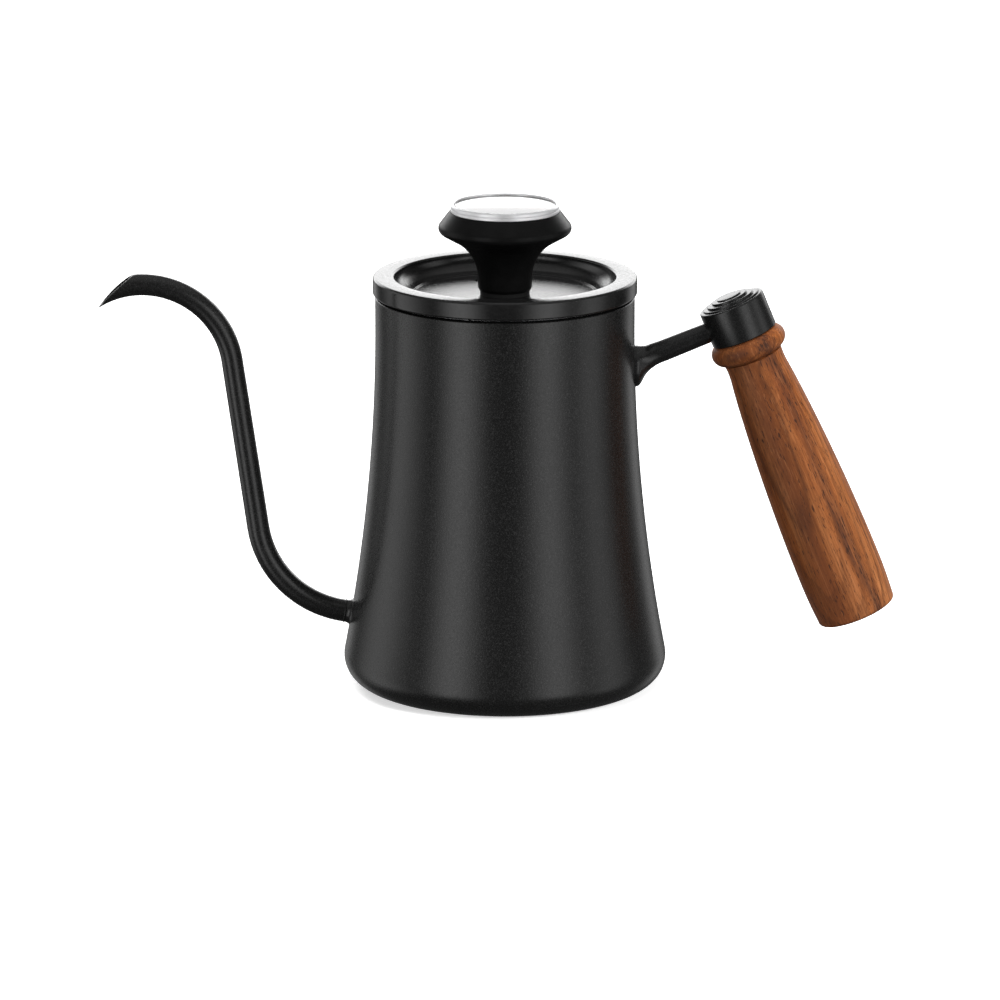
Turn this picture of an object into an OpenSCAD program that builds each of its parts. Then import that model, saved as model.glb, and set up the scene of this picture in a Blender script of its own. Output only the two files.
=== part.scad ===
// Gooseneck pour-over kettle with a lid thermometer.
// Millimetres. Origin: centre of the base, on the surface it stands on.
// +Z is up, the spout points along -X and the handle along +X.

/* [Body] */
// Height of the mouth above the table
mouth_z = 128.6; // [126:0.1:130]
// Outside radius of the straight neck below the mouth
neck_r = 42; // [41.6:0.1:42.4]
// Height at which the curved side becomes the straight neck
neck_z = 120; // [112:1:124]
// Radius of the long hollow curve of the side
side_r = 575; // [540:5:620]
// Radius of the rounded bottom corner
corner_r = 9; // [7:0.5:11]
// Thickness of the steel sheet
sheet = 0.8; // [0.6:0.1:1]
// Radius of the recess pressed into the bottom
recess_r = 40.3; // [36:0.1:41]
// Depth of that recess, and thickness of the plate in it
recess = 1.2; // [1:0.1:1.6]

/* [Spout] */
// Where the tube is welded to its collar, as [x, z]
spout_root = [-52.5, 23.1];
// Direction of the tube there, degrees from +X towards +Z
root_heading = 171.4; // [168:0.1:176]
// Direction of the long straight stretch
rise_heading = 98.1; // [96:0.1:100]
// Radius of the lower bend
lower_bend_r = 33.3; // [30:0.1:35]
// Length of the straight stretch
rise_len = 56.3; // [52:0.1:60]
// Radius of the upper bend
upper_bend_r = 29.2; // [28:0.1:31]
// Outside radius of the tube at the root
tube_root_r = 3.65; // [3.5:0.05:4]
// Outside radius of the tube above the straight stretch
tube_tip_r = 3.5; // [3.3:0.05:3.6]
// Thickness of the tube wall
tube_wall = 0.55; // [0.4:0.05:0.7]
// Top end of the slanted cut at the tip, as [x, z]
cut_top = [-120, 135.5];
// Lowest point of the slanted cut, as [x, z]
cut_tip = [-131.4, 124.7];
// Radius of the slight bulge of the cut
cut_r = 50; // [40:1:80]

/* [Handle] */
// Point on the grip's axis, as [x, z]
grip_at = [93.1, 77.4];
// Lean of the grip from upright
grip_lean = 22.2; // [20:0.1:24]
// Level of the grip's flat lower end along its axis
grip_low = -58.8; // [-62:0.1:-55]
// Level at which the grip meets the metal head
grip_top = 41.2; // [40:0.1:42]
// Largest radius of the grip
grip_r = 13.7; // [13:0.1:14.5]
// Smallest radius, below the bead
grip_waist_r = 9.8; // [9.4:0.1:10.4]
// Radius of the metal head
head_r = 10.9; // [10.5:0.1:11.3]
// Level of the head's upper rim
head_top = 53.1; // [52:0.1:54]
// Level of the arm's axis on the head
arm_level = 46.3; // [46:0.1:47]
// Radius of the arm where it joins the head
arm_head_r = 3.15; // [3:0.05:3.4]
// Radius of the arm at the body
arm_body_r = 3.6; // [3.4:0.05:3.8]

/* [Lid] */
// Height of the lid's flat ring
ring_z = 135.3; // [134:0.1:136]
// Outside radius of the lid
lid_r = 42.75; // [42.5:0.05:43]
// Lower edge of the lid's outer band
band_low = 129.5; // [129.3:0.05:129.7]
// Inner radius of the flat ring
ring_inner_r = 35.8; // [34:0.1:37]
// Height of the dish floor
dish_z = 129.3; // [129:0.1:129.6]
// Radius of the dish floor
dish_r = 29.3; // [28:0.1:30]
// Outer radius of the skirt that plugs into the mouth
skirt_r = 41; // [40.5:0.05:41.1]
// Lower edge of the skirt
skirt_low = 119; // [116:0.5:122]
// Radius of the steam hole
vent_r = 1.3; // [1:0.1:1.8]
// Place of the steam hole, as [x, y]
vent_at = [-8.5, 19.5];

/* [Knob] */
// Radius of the knob's neck
knob_neck_r = 8.75; // [8.5:0.05:9]
// Height where the lines of the neck and the flare cross
flare_z = 142.5; // [142:0.1:143]
// Radius of the hollow between the neck and the flare
flare_r = 14; // [12:0.5:15]
// Outermost corner of the knob before it is rounded, as [radius, z]
rim_at = [22.55, 150.35];
// Radius of the knob's rounded rim
rim_r = 2.1; // [1.6:0.1:3]
// Radius of the knob's flat top
knob_top_r = 17.95; // [17.8:0.05:18.2]
// Height of the knob's top, which carries the thermometer
knob_top = 156.4; // [156.2:0.1:156.6]

/* [Thermometer] */
// Outside radius of the bezel
bezel_r = 17.6; // [17.5:0.05:17.7]
// Radius of the opening of the bezel
bezel_open_r = 16.5; // [16.3:0.05:16.6]
// Height of the bezel's top
bezel_top = 158.9; // [158.8:0.05:159.2]
// Outside radius of the case
case_r = 16.45; // [16.3:0.05:16.5]
// Underside of the case
case_low = 149.5; // [149.4:0.1:150]
// Height of the printed face of the dial
dial_z = 153; // [152.9:0.1:153.4]
// Radius of the probe
probe_r = 2; // [1.8:0.05:2.1]
// Lowest point of the probe
probe_low = 30; // [25:1:45]
// Radius of the pointer's shaft
shaft_r = 0.5; // [0.4:0.05:0.6]
// Length of the pointer from its axis to its tip
pointer_len = 13.6; // [12:0.1:14]
// Dial angle of zero degrees Celsius, clockwise from twelve o'clock
dial_zero = 37.5; // [30:0.5:45]
// Dial angle of one degree Celsius
dial_step = 2.91; // [2.5:0.01:3]
// Temperature shown
reading = 18; // [0:1:100]

/* [Hidden] */
$fn = 96;
hull_fn = 32;
fine = 24;
coarse = 10;
// length of a cut that runs right out of a part, and how far a cut starts before a face
far = 60;
past = 1;
// clearances: a turning or sliding fit, a bolt in its hole, a ring round a bolt, a plate in its recess
running = 0.05;
hole_gap = 0.1;
ring_gap = 0.2;
plate_gap = 0.3;

black = [0.1, 0.1, 0.1];
steel = [0.75, 0.75, 0.76];
brass = [0.78, 0.6, 0.3];
wood = [0.52, 0.3, 0.15];
glass = [0.85, 0.95, 1, 0.4];
silver = [0.85, 0.84, 0.83];
red = [0.8, 0.1, 0.1];

// body
side_c = [neck_r + side_r, neck_z];
corner_c = [side_c.x - sqrt(pow(side_r + corner_r, 2) - pow(neck_z - corner_r, 2)), corner_r];
tangent_a = asin((neck_z - corner_r) / (side_r + corner_r));
lip_r = 0.35;
plate_edge = 0.4;
collar_land = 0.3;
collar_flare = 2.6;
collar_depth = 5;

// spout
lower_c = along(spout_root, root_heading - 90, lower_bend_r);
rise_low = along(lower_c, rise_heading + 90, lower_bend_r);
rise_high = along(rise_low, rise_heading, rise_len);
upper_c = along(rise_high, rise_heading + 90, upper_bend_r);
upper_sweep = 114;
cut_v = cut_tip - cut_top;
cut_n = [-cut_v.y, cut_v.x] / norm(cut_v);
cut_c = (cut_top + cut_tip) / 2 + cut_n * sqrt(cut_r * cut_r - cut_v * cut_v / 4);

// handle, levels along the grip's own axis
bead_r = 3.6;
bead_rise = 3.5;
bead_level = grip_top - bead_rise;
waist_level = 28;
belly_level = -43.6;
grip_end_r = 13.1;
grip_edge = 1.3;
waist_len = 3;
// control points of the grip's outline between those radii, as [radius, level]
heel_curve = [[13.4, -53], [13.7, -49]];
taper_curve = [[13.7, -10], [10.9, 20]];
cap_seat = 51.1;
cap_steps = [[9.45, 53.6], [7.85, 54.25], [5.95, 54.9], [4, 55.25]];
cap_round = 0.15;
washer_seat = 46.6;
washer_h = 0.8;
bolt_r = 3;
bolt_hole_r = 3.3;
bolt_head_r = 5;
bolt_head_h = 3.4;
bolt_low = 20;
bolt_key = 5;
head_bore_r = 6.7;
head_edge = 0.5;
insert_r = 4.5;
insert_low = 25;
insert_flange_r = 6.2;
insert_flange_h = 1.2;
foot_slice_h = 0.05;
// stations of the flared foot, as [x, lowest z, highest z, half width]
foot = [
    [41.6, 98.3, 112.2, 6.3], [43.2, 98.7, 112, 6], [44.2, 99.6, 111.9, 5.5],
    [45.6, 102.3, 111.9, 4.5], [47.1, 104.2, 112.4, 3.9], [49.6, 105.7, 113.5, 3.6]
];

// lid
dish_wall_r = 5;
ring_edge = 0.8;
band_edge = 1;
step_h = 0.5;
seat_h = 0.6;
seat_r = 41.65;
lid_hole_r = 4.2;

// knob and its hollow bolt
spacer_r = 8;
spacer_top = 130.6;
neck_edge = 0.5;
pocket_r = 16.75;
pocket_z = 149.2;
counterbore_r = 6.8;
counterbore_z = 146.2;
tube_bolt_r = 4;
tube_bolt_bore = 2.4;
tube_bolt_head = [6.5, 2.5];
tube_bolt_low = 122.5;
knob_washer_r = 8;
knob_washer_h = 1.2;
nut_af = 13;
nut_h = 4;

// thermometer
case_wall = 0.5;
case_step_r = 15.6;
case_flange_r = 17.05;
dial_thick = 0.4;
dial_rad = 15.85;
dial_hole_r = 1;
gasket_h = 0.4;
lens_h = 1;
lens_dome = 0.4;
bezel_wall = 0.5;
bezel_lip_h = 0.6;
bezel_round = 0.5;
lip_round = 0.3;
probe_bore = 1.6;
probe_flange = [3.6, 0.5];
bush_r = 1.5;
bush_flange = [3.2, 0.5];
bush_low = 146;
anchor_h = 3;
shaft_gap = 1;
coil_r = 1.2;
coil_wire = 0.18;
coil_turns = 14;
coil_h = 26;
coil_sides = 6;
coil_steps = 16;
pointer_z = 154.4;
pointer_h = 0.3;
pointer_tail = 7;
tail_w = 1.8;
blade_w = 1.4;
tip_w = 0.35;
hub_r = 1.6;
hub_h = 1;

function along(p, heading, d) = p + d * [cos(heading), sin(heading)];
function flip(v) = [for (i = [len(v) - 1:-1:0]) v[i]];
// Points on an arc; first = 1 leaves out the starting point
function arc(c, r, a0, a1, n, first = 0) =
    [for (i = [first:n]) along(c, a0 + (a1 - a0) * i / n, r)];
// Rounds the corner v between p and q with radius r
function fillet(p, v, q, r, n) = let (
    a = (p - v) / norm(p - v), b = (q - v) / norm(q - v),
    half = acos(a * b) / 2, c = v + (a + b) / norm(a + b) * r / sin(half),
    s = v + a * r / tan(half) - c, e = v + b * r / tan(half) - c,
    a0 = atan2(s.y, s.x), sweep = (atan2(e.y, e.x) - a0 + 540) % 360 - 180
) arc(c, r, a0, a0 + sweep, n);
// Points on a cubic Bezier curve
function bezier(p, n, first = 0) = [
    for (i = [first:n]) let (u = i / n, v = 1 - u)
        v * v * v * p[0] + 3 * u * v * v * p[1] + 3 * u * u * v * p[2] + u * u * u * p[3]
];

// The kettle's side, moved inwards by t, from the bottom corner up to the neck
function side(t) = concat(
    arc(corner_c, corner_r - t, -90, tangent_a, fine),
    arc(side_c, side_r + t, 180 + tangent_a, 180, fine, 1)
);

module turn(points) { rotate_extrude() polygon(points); }

module ring(r_in, r_out, z0, z1) {
    translate([0, 0, z0]) difference() {
        cylinder(r = r_out, h = z1 - z0);
        translate([0, 0, -past]) cylinder(r = r_in, h = z1 - z0 + 2 * past);
    }
}

module disc(r, z0, z1) { translate([0, 0, z0]) cylinder(r = r, h = z1 - z0); }

// Frames
module at_spout_root() {
    translate([spout_root.x, 0, spout_root.y]) rotate([0, 90 - root_heading, 0]) children();
}
module at_grip() { translate([grip_at.x, 0, grip_at.y]) rotate([0, -grip_lean, 0]) children(); }

// Everything inside the kettle's outer surface
module outer_solid() {
    turn(concat(
        [[0, 0]], side(0),
        arc([neck_r - lip_r, mouth_z - lip_r], lip_r, 0, 90, coarse),
        [[0, mouth_z]]
    ));
}

module inner_solid() {
    inner_r = neck_r - sheet;
    turn(concat(
        [[0, sheet]], side(sheet),
        arc([inner_r + lip_r, mouth_z - lip_r], lip_r, 180, 90, coarse),
        [[inner_r + lip_r, mouth_z + past], [0, mouth_z + past]]
    ));
}

// The drawn shell, open at the bottom, with the collar of the spout
module body_shell() {
    collar_r = tube_root_r;
    color(black) difference() {
        union() {
            outer_solid();
            at_spout_root() turn(concat(
                [[0, 0], [collar_r, 0]],
                arc([collar_r + collar_flare, -collar_land], collar_flare, 180, 270, coarse),
                [[collar_r + collar_flare, -collar_depth], [0, -collar_depth]]
            ));
        }
        inner_solid();
        disc(recess_r + sheet, -past, sheet + past);
        at_spout_root() disc(tube_root_r - tube_wall, -2 * collar_depth, past);
    }
}

// The pressed bottom, welded into the shell
module base_pan() {
    floor_z = recess + sheet;
    color(black) turn([
        [0, recess], [recess_r, recess], [recess_r, 0], [recess_r + sheet, 0],
        [recess_r + sheet, floor_z], [0, floor_z]
    ]);
}

module base_plate() {
    r = recess_r - plate_gap;
    color(steel) turn([[0, 0], [r - plate_edge, 0], [r, plate_edge], [r, recess], [0, recess]]);
}

// One solid bend in the flat, counter-clockwise from angle a0
module bend(c, bend_r, a0, sweep, tube_r) {
    translate(c) rotate(a0) rotate_extrude(angle = sweep) translate([bend_r, 0]) circle(tube_r);
}

// The tube as a solid bar with its radii made smaller by inset, laid out from the straight stretch
module spout_bar(inset) {
    root_r = tube_root_r - inset;
    tip_r = tube_tip_r - inset;
    translate(rise_low) rotate(rise_heading) {
        bend([0, -lower_bend_r], lower_bend_r, 90, root_heading - rise_heading, root_r);
        rotate([0, 90, 0]) cylinder(r1 = root_r, r2 = tip_r, h = rise_len);
        bend([rise_len, upper_bend_r], upper_bend_r, -90, upper_sweep, tip_r);
    }
}

// What the slanted cut takes off the end of the upper bend
module tip_offcut() {
    difference() {
        translate([upper_c.x - far, upper_c.y - past, -far / 2]) cube(far);
        translate(cut_c) cylinder(r = cut_r, h = 2 * far, center = true);
    }
}

module spout_tube() {
    color(black) rotate([90, 0, 0]) difference() {
        spout_bar(0);
        tip_offcut();
        spout_bar(tube_wall);
    }
}

// A thin upright oval slice of the arm's foot
module foot_slice(s) {
    translate([s[0], 0, (s[1] + s[2]) / 2]) rotate([0, 90, 0])
        linear_extrude(foot_slice_h) scale([(s[2] - s[1]) / 2, s[3]]) circle(1, $fn = hull_fn);
}

module handle_bracket() {
    arm_len = (grip_at.x - arm_level * sin(grip_lean) - neck_r) / cos(grip_lean);
    color(black) difference() {
        union() {
            at_grip() {
                turn([
                    [0, grip_top], [head_r - head_edge, grip_top], [head_r, grip_top + head_edge],
                    [head_r, head_top - head_edge], [head_r - head_edge, head_top], [0, head_top]
                ]);
                translate([0, 0, arm_level]) rotate([0, -90, 0])
                    cylinder(r1 = arm_head_r, r2 = arm_body_r, h = arm_len);
            }
            for (i = [0:len(foot) - 2]) hull() {
                foot_slice(foot[i]);
                foot_slice(foot[i + 1]);
            }
        }
        outer_solid();
        at_grip() {
            disc(cap_steps[0][0] + running, cap_seat, far);
            disc(head_bore_r, washer_seat, far);
            disc(bolt_hole_r, grip_top - past, far);
        }
    }
}

module handle_cap() {
    levels = concat([[0, cap_seat]], cap_steps);
    color(black) at_grip() for (i = [1:len(levels) - 1]) {
        r = levels[i][0];
        top = levels[i][1];
        turn([
            [0, levels[i - 1][1]], [r, levels[i - 1][1]], [r, top - cap_round],
            [r - cap_round, top], [0, top]
        ]);
    }
}

module handle_bolt() {
    head_low = washer_seat + washer_h;
    color(steel) at_grip() difference() {
        union() {
            disc(bolt_r, bolt_low, head_low);
            disc(bolt_head_r, head_low, head_low + bolt_head_h);
        }
        translate([0, 0, head_low + bolt_head_h / 3])
            cylinder(d = bolt_key / cos(30), h = bolt_head_h, $fn = 6);
    }
}

module bolt_washer() {
    color(steel) at_grip()
        ring(bolt_hole_r, head_bore_r - plate_gap, washer_seat, washer_seat + washer_h);
}

module grip() {
    bead_a = asin(bead_rise / bead_r);
    bead_c = [grip_waist_r - bead_r * cos(bead_a), bead_level];
    edge_c = [grip_end_r - grip_edge, grip_low + grip_edge];
    outline = concat(
        [[0, grip_low]],
        arc(edge_c, grip_edge, -90, 0, coarse),
        bezier([[grip_end_r, edge_c.y], heel_curve[0], heel_curve[1], [grip_r, belly_level]], coarse, 1),
        bezier([[grip_r, belly_level], taper_curve[0], taper_curve[1], [grip_waist_r, waist_level]], fine, 1),
        [[grip_waist_r, waist_level + waist_len]],
        arc(bead_c, bead_r, -bead_a, bead_a, coarse),
        [[0, grip_top]]
    );
    color(wood) at_grip() difference() {
        turn(outline);
        disc(insert_r + running, insert_low - past, far);
        disc(insert_flange_r + plate_gap, grip_top - insert_flange_h, far);
        disc(bolt_hole_r, bolt_low - 2 * past, far);
    }
}

module grip_insert() {
    color(brass) at_grip() difference() {
        union() {
            disc(insert_r, insert_low, grip_top);
            disc(insert_flange_r, grip_top - insert_flange_h, grip_top);
        }
        disc(bolt_r + running, insert_low - past, far);
    }
}

// Upper face of the lid, moved down by t, from the band's lower edge to the centre hole
function lid_face(t) = concat(
    [[lid_r - t, band_low]],
    arc([lid_r - band_edge, ring_z - band_edge], band_edge - t, 0, 90, coarse),
    arc([ring_inner_r + ring_edge, ring_z - ring_edge], ring_edge - t, 90, 180, coarse),
    arc([ring_inner_r - dish_wall_r, dish_z + step_h + dish_wall_r], dish_wall_r + t, 0, -90, coarse),
    [[dish_r + step_h, dish_z + step_h - t], [dish_r, dish_z - t], [lid_hole_r, dish_z - t]]
);

module lid_cover() {
    color(black) difference() {
        turn(concat(lid_face(0), flip(lid_face(sheet))));
        translate([vent_at.x, vent_at.y, 0]) disc(vent_r, dish_z - far, dish_z + past);
    }
}

module lid_skirt() {
    color(steel) {
        ring(skirt_r - sheet, skirt_r, skirt_low, ring_z - sheet);
        ring(skirt_r - sheet / 2, seat_r, mouth_z, mouth_z + seat_h);
    }
}

module knob() {
    neck_low = [knob_neck_r, spacer_top + 2 * neck_edge];
    neck_high = [knob_neck_r, flare_z];
    edge = [knob_top_r, knob_top];
    color(black) difference() {
        turn(concat(
            [[0, spacer_top], [knob_neck_r - neck_edge, spacer_top], neck_low],
            fillet(neck_low, neck_high, rim_at, flare_r, fine),
            fillet(neck_high, rim_at, edge, rim_r, coarse),
            [edge, [0, knob_top]]
        ));
        disc(pocket_r, pocket_z, far + pocket_z);
        disc(counterbore_r, counterbore_z, far + pocket_z);
        disc(tube_bolt_r + hole_gap, spacer_top - past, far + pocket_z);
    }
}

module knob_spacer() { color(black) ring(tube_bolt_r + ring_gap, spacer_r, dish_z, spacer_top); }

module knob_bolt() {
    color(steel) difference() {
        union() {
            disc(tube_bolt_r, tube_bolt_low, counterbore_z);
            disc(tube_bolt_head[0], counterbore_z, counterbore_z + tube_bolt_head[1]);
        }
        disc(tube_bolt_bore, tube_bolt_low - past, far + pocket_z);
    }
}

module knob_washer() {
    under = dish_z - sheet;
    color(steel) ring(tube_bolt_r + ring_gap, knob_washer_r, under - knob_washer_h, under);
}

module knob_nut() {
    top = dish_z - sheet - knob_washer_h;
    color(steel) translate([0, 0, top - nut_h]) difference() {
        cylinder(d = nut_af / cos(30), h = nut_h, $fn = 6);
        disc(tube_bolt_r + running, -past, nut_h + past);
    }
}

module thermo_case() {
    shoulder = dial_z - dial_thick;
    flange_top = knob_top + case_wall;
    color(steel) turn([
        [probe_r + running, case_low], [case_step_r, case_low],
        [case_step_r, shoulder - case_wall], [case_r, shoulder - case_wall], [case_r, knob_top],
        [case_flange_r, knob_top], [case_flange_r, flange_top],
        [case_r - case_wall, flange_top], [case_r - case_wall, shoulder],
        [case_step_r - case_wall, shoulder], [case_step_r - case_wall, case_low + case_wall],
        [probe_r + running, case_low + case_wall]
    ]);
}

module thermo_bezel() {
    lip_low = bezel_top - bezel_lip_h;
    color(steel) turn(concat(
        [[bezel_r - bezel_wall, knob_top], [bezel_r, knob_top]],
        arc([bezel_r - bezel_round, bezel_top - bezel_round], bezel_round, 0, 90, coarse),
        arc([bezel_open_r + lip_round, bezel_top - lip_round], lip_round, 90, 180, coarse),
        [[bezel_open_r, lip_low], [bezel_r - bezel_wall, lip_low]]
    ));
}

module thermo_lens() {
    low = knob_top + case_wall + gasket_h;
    edge_r = bezel_open_r - ring_gap;
    ball_r = (edge_r * edge_r + lens_dome * lens_dome) / (2 * lens_dome);
    ball_z = low + lens_h + lens_dome - ball_r;
    color(glass) turn(concat(
        [[0, low], [case_flange_r - running, low], [case_flange_r - running, low + lens_h]],
        arc([0, ball_z], ball_r, acos(edge_r / ball_r), 90, fine)
    ));
}

module lens_gasket() {
    low = knob_top + case_wall;
    color(black) ring(case_r - 2 * case_wall, case_flange_r - running, low, low + gasket_h);
}

module dial_plate() {
    color(silver) ring(dial_hole_r, dial_rad, dial_z - dial_thick, dial_z);
}

module dial_ring() {
    color(steel)
        ring(case_r - 2 * case_wall - ring_gap, case_r - case_wall - running, dial_z, knob_top + case_wall);
}

module probe_stem() {
    color(steel) difference() {
        union() {
            translate([0, 0, probe_low + probe_r]) sphere(probe_r);
            disc(probe_r, probe_low + probe_r, case_low + case_wall + probe_flange[1]);
            disc(probe_flange[0], case_low + case_wall, case_low + case_wall + probe_flange[1]);
        }
        disc(probe_bore, probe_low + probe_r, far + pocket_z);
    }
}

module shaft_bush() {
    seat = case_low + case_wall + probe_flange[1];
    color(brass) difference() {
        union() {
            disc(bush_r, bush_low, seat);
            disc(bush_flange[0], seat, seat + bush_flange[1]);
        }
        disc(shaft_r + running, bush_low - past, seat + far);
    }
}

module coil_anchor() {
    color(brass) disc(probe_bore - running, probe_low + probe_r, probe_low + probe_r + anchor_h);
}

// A helix of round wire, closed at both ends
module bimetal_coil() {
    n = coil_turns * coil_steps;
    low = probe_low + probe_r + anchor_h - coil_wire / 2;
    points = [for (i = [0:n], k = [0:coil_sides - 1]) let (
        a = 360 * i / coil_steps, b = 360 * k / coil_sides, r = coil_r + coil_wire * cos(b)
    ) [r * cos(a), r * sin(a), low + coil_wire + coil_h * i / n + coil_wire * sin(b)]];
    walls = [for (i = [0:n - 1], k = [0:coil_sides - 1]) let (
        a = i * coil_sides + k, b = i * coil_sides + (k + 1) % coil_sides
    ) [a, b, b + coil_sides, a + coil_sides]];
    first = [for (k = [coil_sides - 1:-1:0]) k];
    last = [for (k = [0:coil_sides - 1]) n * coil_sides + k];
    color(brass) polyhedron(points, concat([first], walls, [last]));
}

module pointer() {
    color(red) rotate(90 - dial_zero - dial_step * reading) {
        translate([0, 0, pointer_z]) linear_extrude(pointer_h) difference() {
            union() {
                polygon([
                    [0, -blade_w / 2], [pointer_len, -tip_w / 2],
                    [pointer_len, tip_w / 2], [0, blade_w / 2]
                ]);
                translate([tail_w / 2 - pointer_tail, -tail_w / 2])
                    square([pointer_tail - tail_w / 2, tail_w]);
                translate([tail_w / 2 - pointer_tail, 0]) circle(tail_w / 2);
            }
            circle(shaft_r);
        }
        ring(shaft_r, hub_r, pointer_z + pointer_h, pointer_z + hub_h);
    }
}

module pointer_shaft() {
    low = probe_low + probe_r + anchor_h + shaft_gap;
    color(steel) disc(shaft_r, low, pointer_z + hub_h);
}

body_shell();
base_pan();
base_plate();
spout_tube();
handle_bracket();
handle_cap();
handle_bolt();
bolt_washer();
grip();
grip_insert();
lid_cover();
lid_skirt();
knob();
knob_spacer();
knob_bolt();
knob_washer();
knob_nut();
thermo_case();
thermo_bezel();
thermo_lens();
lens_gasket();
dial_plate();
dial_ring();
probe_stem();
shaft_bush();
bimetal_coil();
coil_anchor();
pointer();
pointer_shaft();
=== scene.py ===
"""Looks of the gooseneck kettle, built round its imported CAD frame.

Lengths are in millimetres in the outlines below and turned into metres when a mesh is made.
The kettle's axis is Z, the spout points along -X and the handle along +X.
"""
from math import acos, asin, atan2, cos, degrees, pi, radians, sin, sqrt

import bmesh
import bpy
from mathutils import Matrix, Vector


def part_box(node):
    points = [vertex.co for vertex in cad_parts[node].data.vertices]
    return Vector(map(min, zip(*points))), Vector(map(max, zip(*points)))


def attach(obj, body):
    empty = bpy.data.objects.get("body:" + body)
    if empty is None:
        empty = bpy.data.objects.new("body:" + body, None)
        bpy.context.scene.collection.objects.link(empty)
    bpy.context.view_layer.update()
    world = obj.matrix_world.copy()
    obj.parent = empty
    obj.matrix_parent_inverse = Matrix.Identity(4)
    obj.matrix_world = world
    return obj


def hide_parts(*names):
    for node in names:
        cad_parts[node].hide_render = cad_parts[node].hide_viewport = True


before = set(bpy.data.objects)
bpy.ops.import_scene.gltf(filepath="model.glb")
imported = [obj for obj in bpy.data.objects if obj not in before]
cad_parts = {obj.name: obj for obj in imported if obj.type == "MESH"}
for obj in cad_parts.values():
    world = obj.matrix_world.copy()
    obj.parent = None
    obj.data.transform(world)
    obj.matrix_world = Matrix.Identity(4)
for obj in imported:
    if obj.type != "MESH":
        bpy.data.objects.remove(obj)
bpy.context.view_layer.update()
MM = 0.001
scene = bpy.context.scene


# ---------------------------------------------------------------- outlines

def along(point, heading, distance):
    return (point[0] + distance * cos(radians(heading)), point[1] + distance * sin(radians(heading)))


def arc(centre, r, a0, a1, steps, first=0):
    """Points on an arc from angle a0 to a1; first=1 leaves out the starting point."""
    return [along(centre, a0 + (a1 - a0) * i / steps, r) for i in range(first, steps + 1)]


def bezier(p, steps, first=0):
    """Points on a cubic Bezier curve through p[0] and p[3]."""
    points = []
    for i in range(first, steps + 1):
        u = i / steps
        v = 1 - u
        weights = (v ** 3, 3 * u * v * v, 3 * u * u * v, u ** 3)
        points.append(tuple(sum(w * q[k] for w, q in zip(weights, p)) for k in (0, 1)))
    return points


def rounded(corners, steps=5):
    """A closed outline whose corners are (r, z, rounding radius); a radius of 0 stays sharp."""
    points = []
    for i, (x, z, r) in enumerate(corners):
        here = Vector((x, z))
        if r == 0:
            points.append((x, z))
            continue
        before = (Vector(corners[i - 1][:2]) - here).normalized()
        after = (Vector(corners[(i + 1) % len(corners)][:2]) - here).normalized()
        half = before.angle(after) / 2
        centre = here + (before + after).normalized() * (r / sin(half))
        start = here + before * (r / sin(half) * cos(half)) - centre
        end = here + after * (r / sin(half) * cos(half)) - centre
        a0 = degrees(atan2(start.y, start.x))
        turn = (degrees(atan2(end.y, end.x)) - a0 + 180) % 360 - 180
        points += arc(centre, r, a0, a0 + turn, steps)
    return points


# ---------------------------------------------------------------- meshes

def make_object(name, mesh, body, materials, place=None):
    """A piece that rides on a body. place is the matrix of the piece's own frame."""
    obj = bpy.data.objects.new(name, mesh)
    scene.collection.objects.link(obj)
    if place is not None:
        obj.matrix_world = place
    for m in materials:
        mesh.materials.append(m)
    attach(obj, body)
    return obj


def smooth(mesh, angle=35):
    mesh.shade_smooth()
    mesh.set_sharp_from_angle(angle=radians(angle))


def closed_mesh(name, vertices, faces, angle=35):
    mesh = bpy.data.meshes.new(name)
    mesh.from_pydata([Vector(v) * MM for v in vertices], [], faces)
    work = bmesh.new()
    work.from_mesh(mesh)
    bmesh.ops.remove_doubles(work, verts=work.verts, dist=1e-7)
    bmesh.ops.recalc_face_normals(work, faces=work.faces)
    work.to_mesh(mesh)
    work.free()
    smooth(mesh, angle)
    return mesh


def lathe(name, outline, turns=160, angle=35):
    """Turns a closed outline of (radius, z) round Z; points at radius 0 become poles."""
    vertices, rings = [], []
    for r, z in outline:
        if r < 1e-6:
            rings.append([len(vertices)] * turns)
            vertices.append((0, 0, z))
            continue
        rings.append(list(range(len(vertices), len(vertices) + turns)))
        for k in range(turns):
            a = 2 * pi * k / turns
            vertices.append((r * cos(a), r * sin(a), z))
    faces = []
    for i, ring in enumerate(rings):
        other = rings[(i + 1) % len(rings)]
        for k in range(turns):
            n = (k + 1) % turns
            corners = list(dict.fromkeys((ring[k], ring[n], other[n], other[k])))
            if len(corners) > 2:
                faces.append(corners)
    return closed_mesh(name, vertices, faces, angle)


def loft(name, rings, capped=True, angle=35):
    """Skins closed rings of equal length; capped closes the ends, otherwise the last meets the first."""
    n = len(rings[0])
    vertices = [p for ring in rings for p in ring]
    faces = []
    spans = len(rings) - 1 if capped else len(rings)
    for i in range(spans):
        j = (i + 1) % len(rings)
        for k in range(n):
            m = (k + 1) % n
            faces.append((i * n + k, i * n + m, j * n + m, j * n + k))
    if capped:
        faces.append(tuple(range(n - 1, -1, -1)))
        faces.append(tuple(range((len(rings) - 1) * n, len(rings) * n)))
    return closed_mesh(name, vertices, faces, angle)


def cut(obj, tool_mesh, place=None):
    """Takes a closed mesh away from a piece."""
    tool = bpy.data.objects.new("tool", tool_mesh)
    scene.collection.objects.link(tool)
    if place is not None:
        tool.matrix_world = place
    modifier = obj.modifiers.new("cut", "BOOLEAN")
    modifier.object = tool
    modifier.solver = "EXACT"
    modifier.operation = "DIFFERENCE"
    bpy.context.view_layer.update()
    evaluated = obj.evaluated_get(bpy.context.evaluated_depsgraph_get())
    mesh = bpy.data.meshes.new_from_object(evaluated)
    obj.modifiers.clear()
    obj.data = mesh
    bpy.data.objects.remove(tool)
    smooth(mesh)


# ---------------------------------------------------------------- materials

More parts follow.
